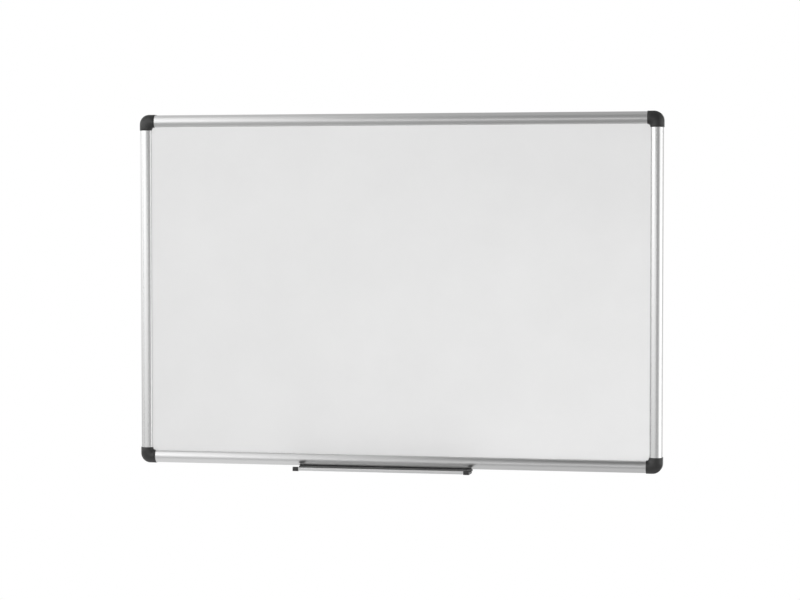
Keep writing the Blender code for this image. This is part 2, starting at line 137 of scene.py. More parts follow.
WALL_GAP = 0.0020           # from the wall to the rail's back
SURFACE = 0.0150            # the writing surface above the wall
BOARD_X, BOARD_Z = 0.898, 0.598
RAIL_FACE = 0.0205          # width of the rail's front
RAIL_WALL = 0.0012
CREST_RISE = 0.0060         # of the front's crest above the writing surface
CREST_IN = 0.0112           # of the crest from the outer side
ARC_RADIUS = 0.0125
SHOULDER_RADIUS = 0.0050    # of the rounding at the outer side
INNER_RADIUS = 0.0050       # of the rounding beside the writing surface
CHAMBER = 0.0075
FOOT = 0.0022               # width of the flat that lies over the panel's edge
FLANGE = 0.0175
GAP = 0.0003                # play between two pieces
FRONT_STEPS, CHANNEL_STEPS, CHAMBER_STEPS = 40, 10, 12
SLACK = 1e-9                # so that a turn where two arcs meet is found on one of them

rail_end = RAIL_FACE + GAP
arc_h = SURFACE + CREST_RISE - ARC_RADIUS
shoulder_h = arc_h + math.sqrt((ARC_RADIUS - SHOULDER_RADIUS) ** 2 - (CREST_IN - SHOULDER_RADIUS) ** 2)
shoulder_turn = math.acos((CREST_IN - SHOULDER_RADIUS) / (ARC_RADIUS - SHOULDER_RADIUS))
inner_in = RAIL_FACE - INNER_RADIUS
inner_h = arc_h + math.sqrt((ARC_RADIUS - INNER_RADIUS) ** 2 - (inner_in - CREST_IN) ** 2)
inner_rim = inner_in + math.sqrt(INNER_RADIUS ** 2 - (SURFACE + GAP - inner_h) ** 2)
inner_turn = math.pi - math.acos((inner_in - CREST_IN) / (ARC_RADIUS - INNER_RADIUS))

# The front's three arcs, from the outer side inwards: centre, radius and the turn at which each ends.
ARCS = [(SHOULDER_RADIUS, shoulder_h, SHOULDER_RADIUS, shoulder_turn),
        (CREST_IN, arc_h, ARC_RADIUS, inner_turn),
        (inner_in, inner_h, INNER_RADIUS, math.pi)]


def arch(grow, first_a, last_a, steps):
    """The rounded front, moved out by grow, as pairs of a distance from the outer side and a height."""
    def turn_at(a):
        for across, _, radius, last_turn in ARCS:
            turn = math.acos(max(-1, min(1, (across - a) / (radius + grow))))
            if turn <= last_turn:
                return turn

    def point(turn):
        across, up, radius, _ = next(arc for arc in ARCS if turn <= arc[3] + SLACK)
        return across - (radius + grow) * math.cos(turn), up + (radius + grow) * math.sin(turn)

    first, last = turn_at(first_a), turn_at(last_a)
    return [point(first + (last - first) * i / steps) for i in range(steps + 1)]


def extruded(outlines, low, high):
    """A bmesh of an outline, less the holes in it, of pairs of a value of Z and a height off the wall."""
    bm = bmesh.new()
    edges = []
    for outline in outlines:
        ring = [bm.verts.new((low, -h, z)) for z, h in outline]
        edges += [bm.edges.new((ring[i - 1], ring[i])) for i in range(len(ring))]
    bmesh.ops.triangle_fill(bm, edges=edges, use_beauty=True)
    grown = bmesh.ops.extrude_face_region(bm, geom=bm.faces[:])
    moved = [item for item in grown["geom"] if isinstance(item, bmesh.types.BMVert)]
    bmesh.ops.translate(bm, verts=moved, vec=(high - low, 0, 0))
    bmesh.ops.recalc_face_normals(bm, faces=bm.faces)
    return bm


def shown(bm, name, finish, body, replaced, matrix, sharp=30):
    """A piece from a bmesh, in place in its mesh, riding on its body and standing for a CAD node. Edges past
    the sharp angle, in degrees, stay crisp."""
    bmesh.ops.transform(bm, matrix=matrix, verts=bm.verts)
    mesh = bpy.data.meshes.new(name)
    bm.to_mesh(mesh)
    bm.free()
    mesh.shade_smooth()
    mesh.set_sharp_from_angle(angle=math.radians(sharp))
    mesh.materials.append(finish)
    piece = bpy.data.objects.new(name, mesh)
    bpy.context.collection.objects.link(piece)
    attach(piece, body)
    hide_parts(replaced)


# Satin anodised aluminium: its reflections are soft, and drawn out across the fine lines that the die leaves.
# The lines are drawn 1 mm wide, coarser than the real ones, so that they show.
LINE_WIDTH, LINE_LENGTH, LINE_DEPTH = 0.001, 0.5, 0.000003
GLOSS_SPREAD = 0.04


def anodised(name, axis, gloss, drawn):
    """The aluminium with its lines along an axis, its least roughness, and its reflections' stretch."""
    finish, place = new_finish(name)
    scale = [1 / LINE_LENGTH if share else 1 / LINE_WIDTH for share in axis]
    along = add_node(finish, "Mapping", "Vector", {"Vector": place, "Scale": scale})
    lines = add_node(finish, "TexNoise", "Fac", {"Vector": along, "Scale": 1.0, "Detail": 3.0})
    feed(finish, finish.node_tree.nodes["Principled BSDF"], {
        "Base Color": add_node(finish, "Mix", 2, {"Factor": lines, 6: linear("CBCBCB"), 7: linear("D6D6D6")},
                               data_type="RGBA"),
        "Metallic": 1.0,
        "Roughness": add_node(finish, "MapRange", "Result", {"Value": lines, "To Min": gloss,
                                                             "To Max": gloss + GLOSS_SPREAD}),
        "Anisotropic": drawn,
        "Anisotropic Rotation": 0.25,
        "Tangent": add_node(finish, "CombineXYZ", "Vector", {"X": axis[0], "Y": axis[1], "Z": axis[2]}),
        "Normal": add_node(finish, "Bump", "Normal", {"Height": lines, "Distance": LINE_DEPTH})})
    return finish


# The upright rails' reflections are a little crisper. Both ranges of roughness keep clear of 0.27, at which
# the renderer's denoiser leaves hard-edged marks.
aluminium_across = anodised("anodised_aluminium_across", (1.0, 0.0, 0.0), 0.285, 0.65)
aluminium_up = anodised("anodised_aluminium_up", (0.0, 0.0, 1.0), 0.225, 0.65)

web_outer = RAIL_WALL + CHAMBER
web_inner = web_outer + RAIL_WALL
flange_h = WALL_GAP + RAIL_WALL
foot = RAIL_FACE - FOOT
rail_outline = [(0, WALL_GAP)] + arch(0, 0, inner_rim, FRONT_STEPS)
rail_outline += [(foot, SURFACE + GAP)] + arch(-RAIL_WALL, foot, web_inner, CHANNEL_STEPS)
rail_outline += [(web_inner, flange_h), (FLANGE, flange_h), (FLANGE, WALL_GAP)]
chamber_outline = [(RAIL_WALL, flange_h)] + arch(-RAIL_WALL, RAIL_WALL, web_outer, CHAMBER_STEPS)
chamber_outline += [(web_outer, flange_h)]

RAILS = [("bottom", BOARD_X, (0, 0, -BOARD_Z / 2), 0, aluminium_across),
         ("top", BOARD_X, (0, 0, BOARD_Z / 2), 180, aluminium_across),
         ("left", BOARD_Z, (-BOARD_X / 2, 0, 0), 90, aluminium_up),
         ("right", BOARD_Z, (BOARD_X / 2, 0, 0), -90, aluminium_up)]
for side, span, spot, turn, finish in RAILS:
    rail_half = span / 2 - rail_end
    bm = extruded([rail_outline, chamber_outline], -rail_half, rail_half)
    matrix = Matrix.Translation(spot) @ Matrix.Rotation(math.radians(turn), 4, "Y")
    shown(bm, f"{side}_rail", finish, "board", f"rail_{side}", matrix)


# Corner keys. Moulded glass-filled nylon: a block with the wall screw's countersunk hole, the sockets for the
# cap's pegs, and two legs that plug into the rails' chambers. The block's back stands against the wall.

CAP_PROUD = 0.0010          # of the cap beyond the rails' outer sides
CAP_WALL = 0.0016
CORNER_RADIUS = 0.0165      # of the cap, over all
KEY_DROP = 0.0017
KEY_LEG = 0.0350
KEY_EDGE = 0.0004
KEY_STEPS = 16
LEG_SLOT_HALF, LEG_SLOT_DEPTH = 0.0010, 0.0016
PANEL_CROP = 0.0100         # cut off the panel's corner, which the block clears
PANEL_PLAY = 0.0004
HOLE_IN, HOLE_RADIUS, SINK_RADIUS = 0.0096, 0.0024, 0.0044
HOLE_SEGMENTS = 40
PEG_ALONG, PEG_ACROSS, PEG_RADIUS, PEG_DEPTH = 0.0156, 0.0046, 0.0015, 0.0060
SCREW_RADIUS = 0.0014
SCREW_FROM_END = 0.0035
SCREW_ROOF = 0.0016         # left above the screw's hole
OVERRUN = 1                 # how far a cut runs on past the piece
key_h = shoulder_h - KEY_DROP
screw_across = RAIL_WALL + CHAMBER / 2
screw_along = rail_end + SCREW_FROM_END

CORNERS = [("bottom_left", -1, -1, 0), ("bottom_right", 1, -1, -90), ("top_right", 1, 1, 180),
           ("top_left", -1, 1, 90)]
PEG_PLACES = [(PEG_ALONG, PEG_ACROSS), (PEG_ACROSS, PEG_ALONG)]


def at_corner(side_x, side_z, turn):
    """Carries a mesh made for the bottom left corner, its outer sides on X = 0 and Z = 0, to a corner."""
    spot = Matrix.Translation((side_x * BOARD_X / 2, 0, side_z * BOARD_Z / 2))
    return spot @ Matrix.Rotation(math.radians(turn), 4, "Y")


def quarter(centre, radius, steps):
    """A quarter circle in plan round the outer corner, from the side along X to the side along Z."""
    turns = [math.radians(90) * i / steps for i in range(steps + 1)]
    return [(centre - radius * math.sin(t), centre - radius * math.cos(t)) for t in turns]


def standing(outline, low, high):
    """A bmesh of an outline in plan, of pairs of X and Z, that stands out of the wall from low to high."""
    bm = bmesh.new()
    bm.faces.new([bm.verts.new((x, -low, z)) for x, z in outline])
    grown = bmesh.ops.extrude_face_region(bm, geom=bm.faces[:])
    moved = [item for item in grown["geom"] if isinstance(item, bmesh.types.BMVert)]
    bmesh.ops.translate(bm, verts=moved, vec=(0, low - high, 0))
    bmesh.ops.recalc_face_normals(bm, faces=bm.faces)
    return bm


def rod(x, z, radius, low, high, top_radius=None, segments=32):
    """A bmesh of a round rod or cone that stands out of the wall."""
    bm = bmesh.new()
    bmesh.ops.create_cone(bm, cap_ends=True, segments=segments, radius1=radius,
                          radius2=radius if top_radius is None else top_radius, depth=high - low)
    bmesh.ops.rotate(bm, verts=bm.verts, cent=(0, 0, 0), matrix=Matrix.Rotation(math.radians(90), 3, "X"))
    bmesh.ops.translate(bm, verts=bm.verts, vec=(x, -(low + high) / 2, z))
    return bm


def combined(body, steps, edge=0.0, segments=2, angle=40):
    """A bmesh of a body after booleans with others, each step an operation and a bmesh. Its edges past an
    angle, in degrees, are then rounded."""
    made = []
    for bm in [body] + [tool for _, tool in steps]:
        mesh = bpy.data.meshes.new("making")
        bm.to_mesh(mesh)
        bm.free()
        made.append(bpy.data.objects.new("making", mesh))
        bpy.context.collection.objects.link(made[-1])
    for (operation, _), tool in zip(steps, made[1:]):
        cut = made[0].modifiers.new(operation, "BOOLEAN")
        cut.operation, cut.object, cut.solver = operation, tool, "EXACT"
    if edge:
        bevel = made[0].modifiers.new("bevel", "BEVEL")
        bevel.width, bevel.segments = edge, segments
        bevel.limit_method, bevel.angle_limit = "ANGLE", math.radians(angle)
        bevel.harden_normals = False
    graph = bpy.context.evaluated_depsgraph_get()
    mesh = bpy.data.meshes.new_from_object(made[0].evaluated_get(graph))
    result = bmesh.new()
    result.from_mesh(mesh)
    for item in made:
        bpy.data.objects.remove(item, do_unlink=True)
    bpy.data.meshes.remove(mesh)
    return result


# Glass-filled nylon: dull dark grey, with a faintly cloudy skin.
SKIN_CLOUD = 0.0012
nylon, place = new_finish("grey_nylon")
skin = add_node(nylon, "TexNoise", "Fac", {"Vector": place, "Scale": 1 / SKIN_CLOUD, "Detail": 3.0})
feed(nylon, nylon.node_tree.nodes["Principled BSDF"], {
    "Base Color": add_node(nylon, "Mix", 2, {"Factor": skin, 6: linear("55575A"), 7: linear("66686A")},
                           data_type="RGBA"),
    "Roughness": add_node(nylon, "MapRange", "Result", {"Value": skin, "To Min": 0.48, "To Max": 0.62}),
    "Normal": add_node(nylon, "Bump", "Normal", {"Height": skin, "Distance": 0.00003})})

arc_centre = CORNER_RADIUS - CAP_PROUD
key_radius = CORNER_RADIUS - CAP_WALL - GAP
key_side = arc_centre - key_radius
key_end = rail_end - GAP
panel_inset = web_inner + PANEL_PLAY
diagonal = 2 * panel_inset + PANEL_CROP - GAP * math.sqrt(2)
block_outline = [(key_end, key_side)] + quarter(arc_centre, key_radius, KEY_STEPS)
block_outline += [(key_side, key_end), (diagonal - key_end, key_end), (key_end, diagonal - key_end)]

leg_low, leg_high = RAIL_WALL + GAP, web_outer - GAP
leg_start, leg_stop = key_end - KEY_DROP, rail_end + KEY_LEG
leg_base = flange_h + GAP
leg_outline = [(leg_start, leg_low), (leg_stop, leg_low), (leg_stop, leg_high), (leg_start, leg_high)]

slot_start, slot_stop = rail_end + SCREW_FROM_END * 2, leg_stop - SCREW_FROM_END
leg_middle = (leg_low + leg_high) / 2
slot_low, slot_high = leg_middle - LEG_SLOT_HALF, leg_middle + LEG_SLOT_HALF
slot_outline = [(slot_start, slot_low), (slot_stop, slot_low), (slot_stop, slot_high),
                (slot_start, slot_high)]

sink = SINK_RADIUS - HOLE_RADIUS
for corner, side_x, side_z, turn in CORNERS:
    steps = []
    for flip in (False, True):
        leg, slot = ([p[::-1] for p in outline] if flip else outline
                     for outline in (leg_outline, slot_outline))
        steps.append(("UNION", standing(leg, leg_base, key_h - GAP)))
        steps.append(("DIFFERENCE", standing(slot, 0, leg_base + LEG_SLOT_DEPTH)))
    for x, z in ((screw_along, screw_across), (screw_across, screw_along)):
        steps.append(("DIFFERENCE", rod(x, z, SCREW_RADIUS + GAP, 0, key_h - SCREW_ROOF)))
    for x, z in PEG_PLACES:
        steps.append(("DIFFERENCE", rod(x, z, PEG_RADIUS + GAP, key_h - PEG_DEPTH - GAP, key_h + OVERRUN)))
    steps.append(("DIFFERENCE", rod(HOLE_IN, HOLE_IN, HOLE_RADIUS, -OVERRUN, OVERRUN,
                                    segments=HOLE_SEGMENTS)))
    steps.append(("DIFFERENCE", rod(HOLE_IN, HOLE_IN, HOLE_RADIUS, key_h - sink, key_h + sink,
                                    SINK_RADIUS + sink, HOLE_SEGMENTS)))
    bm = combined(standing(block_outline, 0, key_h), steps, KEY_EDGE)
    shown(bm, f"{corner}_key", nylon, "board", f"corner_key_{corner}",
          at_corner(side_x, side_z, turn))


# Frame screws. Zinc-plated steel self-tapping screws with pan heads and cross recesses, driven from the back
# through the rail's wall into the key's leg.

SCREW_LENGTH = 0.0070
HEAD_RADIUS, HEAD_HEIGHT = 0.0028, 0.0013
HEAD_FLAT, HEAD_BEND = 0.55, 0.86           # radii in the pan's section, as shares of the head's
BEND_HEIGHT, PAN_HEIGHT = 0.22, 0.6         # heights in it, as shares of the head's
THREAD_DEPTH, THREAD_PITCH = 0.0003, 0.0011
THREAD_FOOT = 0.9                           # width of a thread at its foot, as a share of the pitch
SCREW_TIP = 0.7                             # of the core's radius at the last thread
RECESS_WIDTH, RECESS_REACH, RECESS_DEPTH = 0.0005, 0.0015, 0.0009
SCREW_STEPS = 28
SAME_POINT = 0.00001                        # points closer than this are merged
SCREW_TURN = 1.3                            # by which each screw stops further round than the last

# Bright zinc plate: a metal that is nearly a mirror, with fine drawing marks.
DRAWING_MARK = 0.0005
plated, place = new_finish("plated_steel")
marks = add_node(plated, "TexNoise", "Fac", {"Vector": place, "Scale": 1 / DRAWING_MARK})
feed(plated, plated.node_tree.nodes["Principled BSDF"], {
    "Base Color": add_node(plated, "Mix", 2, {"Factor": marks, 6: linear("B5B5AE"), 7: linear("CCCDCC")},
                           data_type="RGBA"),
    "Metallic": 1.0,
    "Roughness": add_node(plated, "MapRange", "Result", {"Value": marks, "To Min": 0.16, "To Max": 0.26})})

seat_h = WALL_GAP - GAP
head_h = seat_h - HEAD_HEIGHT
core_radius = SCREW_RADIUS - THREAD_DEPTH


def screw():
    """A bmesh of one screw on the Y axis, its head to the back."""
    outline = [(0, head_h), (HEAD_RADIUS * HEAD_FLAT, head_h),
               (HEAD_RADIUS * HEAD_BEND, head_h + HEAD_HEIGHT * BEND_HEIGHT),
               (HEAD_RADIUS, head_h + HEAD_HEIGHT * PAN_HEIGHT), (HEAD_RADIUS, seat_h), (core_radius, seat_h)]
    count = int((SCREW_LENGTH - THREAD_PITCH) / THREAD_PITCH)
    for i in range(count):
        h = seat_h + (i + 0.5) * THREAD_PITCH
        core = core_radius * (1 if i < count - 1 else SCREW_TIP)
        outline += [(core, h), (core + THREAD_DEPTH, h + THREAD_PITCH / 2),
                    (core, h + THREAD_PITCH * THREAD_FOOT)]
    outline.append((0, seat_h + SCREW_LENGTH))
    bm = bmesh.new()
    line = [bm.verts.new((r, -h, 0)) for r, h in outline]
    edges = [bm.edges.new(pair) for pair in zip(line, line[1:])]
    bmesh.ops.spin(bm, geom=line + edges, axis=(0, 1, 0), cent=(0, 0, 0), steps=SCREW_STEPS,
                   angle=math.radians(360), use_merge=True)
    bmesh.ops.remove_doubles(bm, verts=bm.verts, dist=SAME_POINT)
    bmesh.ops.recalc_face_normals(bm, faces=bm.faces)
    arms = []
    for x, z in ((RECESS_REACH, RECESS_WIDTH / 2), (RECESS_WIDTH / 2, RECESS_REACH)):
        arm = [(-x, -z), (x, -z), (x, z), (-x, z)]
        arms.append(("DIFFERENCE", standing(arm, head_h - RECESS_DEPTH, head_h + RECESS_DEPTH)))
    return combined(bm, arms)


half_x, half_z = BOARD_X / 2, BOARD_Z / 2
SCREWS = [(f"{side}_rail_{end}_end", ex * (half_x - screw_along), sz * (half_z - screw_across))
          for sz, side in ((-1, "bottom"), (1, "top")) for ex, end in ((-1, "left"), (1, "right"))]
SCREWS += [(f"{side}_rail_{end}_end", sx * (half_x - screw_across), ez * (half_z - screw_along))
           for sx, side in ((-1, "left"), (1, "right")) for ez, end in ((-1, "bottom"), (1, "top"))]
for index, (name, x, z) in enumerate(SCREWS):
    driven = Matrix.Translation((x, 0, z)) @ Matrix.Rotation(index * SCREW_TURN, 4, "Y")
    shown(screw(), f"frame_screw_{name}", plated, "board", f"screw_{name}", driven, sharp=45)


# Corner caps. Injection-moulded black ABS shells that carry the rails' rounded front round the corner, each
# pressed on over two pegs. They cover the wall screws, and their rims stand a little proud of the rails.

CAP_LIP_PROUD = 0.0008      # of the cap beyond the rail's inner edge
CAP_LEG = 0.0271
CAP_FILLET = 0.0038         # of the inner corner, in plan
CAP_OFF_WALL = 0.0005
CAP_SKIN = 0.0007           # thickness at the rim, where the shell passes over the rail
CAP_RIM = 0.00022           # rounding of the rim
RIM_ANGLE = 60
CAP_STEPS, CAP_FRONT_STEPS = 20, 28
PEG_SEGMENTS = 24

# Black ABS with a fine eroded grain, satin: it gives broad soft grey highlights. The grain is drawn 0.5 mm
# wide, coarser than the real one.
GRAIN, CLOUD = 0.0005, 0.012
abs_black, place = new_finish("black_abs")
grain = add_node(abs_black, "TexNoise", "Fac", {"Vector": place, "Scale": 1 / GRAIN})
cloud = add_node(abs_black, "TexNoise", "Fac", {"Vector": place, "Scale": 1 / CLOUD})
feed(abs_black, abs_black.node_tree.nodes["Principled BSDF"], {
    "Base Color": add_node(abs_black, "Mix", 2, {"Factor": cloud, 6: linear("1A1A1A"), 7: linear("222222")},
                           data_type="RGBA"),
    "Roughness": add_node(abs_black, "MapRange", "Result", {"Value": grain, "To Min": 0.32, "To Max": 0.44}),
    "Normal": add_node(abs_black, "Bump", "Normal", {"Height": grain, "Distance": 0.00004})})


def cap_shell():
    """A bmesh of the bottom left corner's cap: its skin swept round the corner, thickened, with pegs."""
    outer, inner = -CAP_PROUD, RAIL_FACE + CAP_LIP_PROUD
    end = CAP_LEG - CAP_PROUD
    outer_turn = quarter(arc_centre, CORNER_RADIUS, CAP_STEPS)
    inner_turn = quarter(inner + CAP_FILLET, CAP_FILLET, CAP_STEPS)
    stations = [((end, outer), (end, inner))] + list(zip(outer_turn, inner_turn))
    stations.append(((outer, end), (inner, end)))
    front = arch(CAP_PROUD, outer, inner, CAP_FRONT_STEPS)
    profile = [(0, CAP_OFF_WALL)] + [((a - outer) / (inner - outer), h) for a, h in front]
    profile.append((1, SURFACE + GAP))
    bm = bmesh.new()
    chains = []
    for first, last in stations:
        spots = [Vector(first).lerp(Vector(last), share) for share, _ in profile]
        ring = [bm.verts.new((spot.x, -h, spot.y)) for spot, (_, h) in zip(spots, profile)]
        chains.append([bm.edges.new(pair) for pair in zip(ring, ring[1:])])
    for one, other in zip(chains, chains[1:]):
        bmesh.ops.bridge_loops(bm, edges=one + other)
    bmesh.ops.recalc_face_normals(bm, faces=bm.faces)
    crest = max(bm.faces, key=lambda face: -face.calc_center_median().y)
    if crest.normal.y > 0:
        bmesh.ops.reverse_faces(bm, faces=bm.faces)
    mesh = bpy.data.meshes.new("making")
    bm.to_mesh(mesh)
    bm.free()
    shell = bpy.data.objects.new("making", mesh)
    bpy.context.collection.objects.link(shell)
    wall = shell.modifiers.new("wall", "SOLIDIFY")
    wall.thickness, wall.offset, wall.use_even_offset = CAP_SKIN, -1, True
    rim = shell.modifiers.new("rim", "BEVEL")
    rim.width, rim.segments = CAP_RIM, 2
    rim.limit_method, rim.angle_limit = "ANGLE", math.radians(RIM_ANGLE)
    mesh = bpy.data.meshes.new_from_object(shell.evaluated_get(bpy.context.evaluated_depsgraph_get()))
    bpy.data.objects.remove(shell, do_unlink=True)
    bm = bmesh.new()
    bm.from_mesh(mesh)
    for x, z in PEG_PLACES:
        peg = rod(x, z, PEG_RADIUS, key_h - PEG_DEPTH, shoulder_h + SHOULDER_RADIUS, segments=PEG_SEGMENTS)
        peg.to_mesh(mesh)
        peg.free()
        bm.from_mesh(mesh)
    bpy.data.meshes.remove(mesh)
    return bm


for corner, side_x, side_z, turn in CORNERS:
    shown(cap_shell(), f"{corner}_cap", abs_black, f"cap_{corner}", f"corner_cap_{corner}",
          at_corner(side_x, side_z, turn), sharp=50)


# Pen tray. A short aluminium extrusion that hooks over the bottom rail's back flange and slides along it: a
# rear leg, a floor that passes under the rail, and a rounded front lip. Anodised like the rails.

TRAY_LENGTH = 0.3020
TRAY_X = -0.0190
TRAY_REACH = 0.0380         # in front of the writing surface
TRAY_DROP = 0.0035
TRAY_WALL = 0.0012
LIP_HEIGHT, LIP_THICKNESS = 0.0054, 0.0016
FRONT_RADIUS = 0.0012
HOOK_GRIP = 0.0011
TRAY_PLATE, TRAY_CAP = 0.0020, 0.0093       # of an end cap: its plate's thickness, and its length
TRAY_CAP_PROUD = 0.0009

front_h = SURFACE + TRAY_REACH
floor_z = -TRAY_DROP
under_z = floor_z - TRAY_WALL
lip_z = under_z + LIP_HEIGHT
leg_h = WALL_GAP - GAP - TRAY_WALL
hook_z = FLANGE + GAP
hook_h = WALL_GAP + HOOK_GRIP
tray_place = Matrix.Translation((TRAY_X, 0, -BOARD_Z / 2))
tray_half = TRAY_LENGTH / 2 - TRAY_PLATE - GAP


def rounding(z, h, radius, start, stop, steps=8):
    """Pairs of Z and height on an arc, from one angle to another in degrees; 0 points away from the wall."""
    turns = [math.radians(start + (stop - start) * i / steps) for i in range(steps + 1)]
    return [(z + radius * math.sin(t), h + radius * math.cos(t)) for t in turns]


def tray_outline(grow=0.0):
    """The tray's wall in section, all its faces moved out by grow."""
    front, half_lip, corner = front_h + grow, LIP_THICKNESS / 2 + grow, FRONT_RADIUS + grow
    points = [(hook_z - grow, hook_h + grow), (hook_z + TRAY_WALL + grow, hook_h + grow),
              (hook_z + TRAY_WALL + grow, leg_h - grow), (under_z - grow, leg_h - grow)]
    points += rounding(under_z - grow + corner, front - corner, corner, -90, 0)
    points += rounding(lip_z + grow - half_lip, front - half_lip, half_lip, 0, 180)
    return points + [(floor_z + grow, front - 2 * half_lip), (floor_z + grow, leg_h + TRAY_WALL + grow),
                     (hook_z - grow, leg_h + TRAY_WALL + grow)]


# The tray's finish is duller than the rails'.
aluminium_tray = anodised("anodised_aluminium_tray", (1.0, 0.0, 0.0), 0.48, 0.1)

shown(extruded([tray_outline()], -tray_half, tray_half), "pen_tray_channel", aluminium_tray, "tray",
      "tray_channel", tray_place, sharp=35)


# Shade strip. Black rubber with ribs along its top, glued to the tray's floor where it passes under the rail.
# Its dark grey is painted shade: it stands for the shade in the gap between the rail and the tray's floor.

SHADE_STRIP_BACK, SHADE_STRIP_FRONT = 0.0040, 0.0180
RIB, RIB_PITCH = 0.0004, 0.0030
RIB_ROUND = 0.00018

# Black rubber, dull and slightly dusty. Its dark grey is painted shade for the gap under the rail.
DUST, PORE = 0.006, 0.0008
rubber, place = new_finish("black_rubber")
dust = add_node(rubber, "TexNoise", "Fac", {"Vector": place, "Scale": 1 / DUST, "Detail": 4.0})
pores = add_node(rubber, "TexNoise", "Fac", {"Vector": place, "Scale": 1 / PORE})
feed(rubber, rubber.node_tree.nodes["Principled BSDF"], {
    "Base Color": add_node(rubber, "Mix", 2, {"Factor": dust, 6: linear("505050"), 7: linear("6A6A6A")},
                           data_type="RGBA"),
    "Roughness": add_node(rubber, "MapRange", "Result", {"Value": dust, "To Min": 0.66, "To Max": 0.86}),
    "Normal": add_node(rubber, "Bump", "Normal", {"Height": pores, "Distance": 0.00004})})

count = int((SHADE_STRIP_FRONT - SHADE_STRIP_BACK) / RIB_PITCH)
pitch = (SHADE_STRIP_FRONT - SHADE_STRIP_BACK) / count
shade_strip_outline = [(floor_z + GAP, SHADE_STRIP_BACK), (floor_z + GAP, SHADE_STRIP_FRONT)]
for i in range(count):
    rib = SHADE_STRIP_FRONT - i * pitch
    shade_strip_outline += [(-GAP - RIB_ROUND, rib), (-GAP, rib - RIB_ROUND), (-GAP, rib - pitch / 2 + RIB_ROUND),
                       (-GAP - RIB_ROUND, rib - pitch / 2), (-GAP - RIB, rib - pitch / 2 - RIB_ROUND),
                       (-GAP - RIB, rib - pitch)]
# The strip is a dark piece put where the gap under the rail lies in shade: painted shade.
shown(extruded([shade_strip_outline], -tray_half, tray_half), "pen_tray_shade_strip", rubber, "tray",
      "tray_buffer", tray_place)


# Tray end caps. Moulded black ABS plugs, pushed on: an outer plate, a block over the channel's lip, and a low
# base round its floor, which ends just ahead of the rail.

CAP_BLOCK = 0.0033          # the block's depth behind the tray's front
CAP_BASE = 0.0012
CAP_BACK = 0.0225
BLOCK_ROUND = 0.0018
PLUG_EDGE = 0.0003

front, under, top = front_h + TRAY_CAP_PROUD, under_z - TRAY_CAP_PROUD, lip_z + TRAY_CAP_PROUD
block = front_h - CAP_BLOCK
base = floor_z + GAP + CAP_BASE
plug_outline = rounding(under + BLOCK_ROUND, front - BLOCK_ROUND, BLOCK_ROUND, -90, 0)
plug_outline += rounding(top - BLOCK_ROUND, front - BLOCK_ROUND, BLOCK_ROUND, 0, 90)
plug_outline += [(top, block), (base, block), (base, CAP_BACK), (under, CAP_BACK)]
for side, end in ((-1, "left"), (1, "right")):
    outside = side * TRAY_LENGTH / 2
    inside = outside - side * TRAY_CAP
    plate = outside - side * TRAY_PLATE
    body = extruded([plug_outline], inside, outside)
    hollow = extruded([tray_outline(GAP)], inside - side * TRAY_PLATE, plate)
    plug = combined(body, [("DIFFERENCE", hollow)], PLUG_EDGE, segments=3)
    shown(plug, f"pen_tray_{end}_end_cap", abs_black, "tray", f"tray_end_cap_{end}", tray_place,
          sharp=50)


# Studio: a pale floor under the board's place, a white surround, three soft lamps, and cards all round that
# only show in the reflections: a white horizon, darker bands, and a hood that fades from white to grey.

FLOOR_Z = -1.0
FLOOR_RADIUS, FLOOR_SEGMENTS = 2.5, 96
FADE_START, FADE_END = 0.8, 2.4     # of the floor into the white surround
pale, place = new_finish("pale_floor")
reach = add_node(pale, "VectorMath", "Value", {0: place}, operation="LENGTH")
fade = add_node(pale, "MapRange", "Result", {"Value": reach, "From Min": FADE_START, "From Max": FADE_END,
                                             "To Min": 0.5})
white = add_node(pale, "Emission", "Emission", {"Strength": 1.0})
shader = pale.node_tree.nodes["Principled BSDF"]
feed(pale, shader, {"Base Color": linear("F4F4F3"), "Roughness": 0.7})
blend = add_node(pale, "MixShader", 0, {0: fade, 1: shader.outputs["BSDF"], 2: white})
feed(pale, pale.node_tree.nodes["Material Output"], {"Surface": blend})
bm = bmesh.new()
bmesh.ops.create_circle(bm, cap_ends=True, segments=FLOOR_SEGMENTS, radius=FLOOR_RADIUS)
mesh = bpy.data.meshes.new("floor")
bm.to_mesh(mesh)
bm.free()
mesh.materials.append(pale)
floor = bpy.data.objects.new("floor", mesh)
floor.location = (0, 0, FLOOR_Z)
bpy.context.collection.objects.link(floor)

# The surround looks white and is mirrored white, but lights dull faces less, so that the lamps shape them.
AMBIENT = 0.28
world = bpy.data.worlds.new("white_studio")
bpy.context.scene.world = world
world.use_nodes = True
camera_ray = add_node(world, "LightPath", "Is Camera Ray", {})
glossy_ray = add_node(world, "LightPath", "Is Glossy Ray", {})
clear_ray = add_node(world, "LightPath", "Is Transmission Ray", {})
seen = add_node(world, "Math", 0, {0: camera_ray, 1: glossy_ray}, operation="MAXIMUM")
seen = add_node(world, "Math", 0, {0: seen, 1: clear_ray}, operation="MAXIMUM")
strength = add_node(world, "MapRange", "Result", {"Value": seen, "To Min": AMBIENT, "To Max": 1.0})
feed(world, world.node_tree.nodes["Background"], {"Color": (1, 1, 1, 1), "Strength": strength})


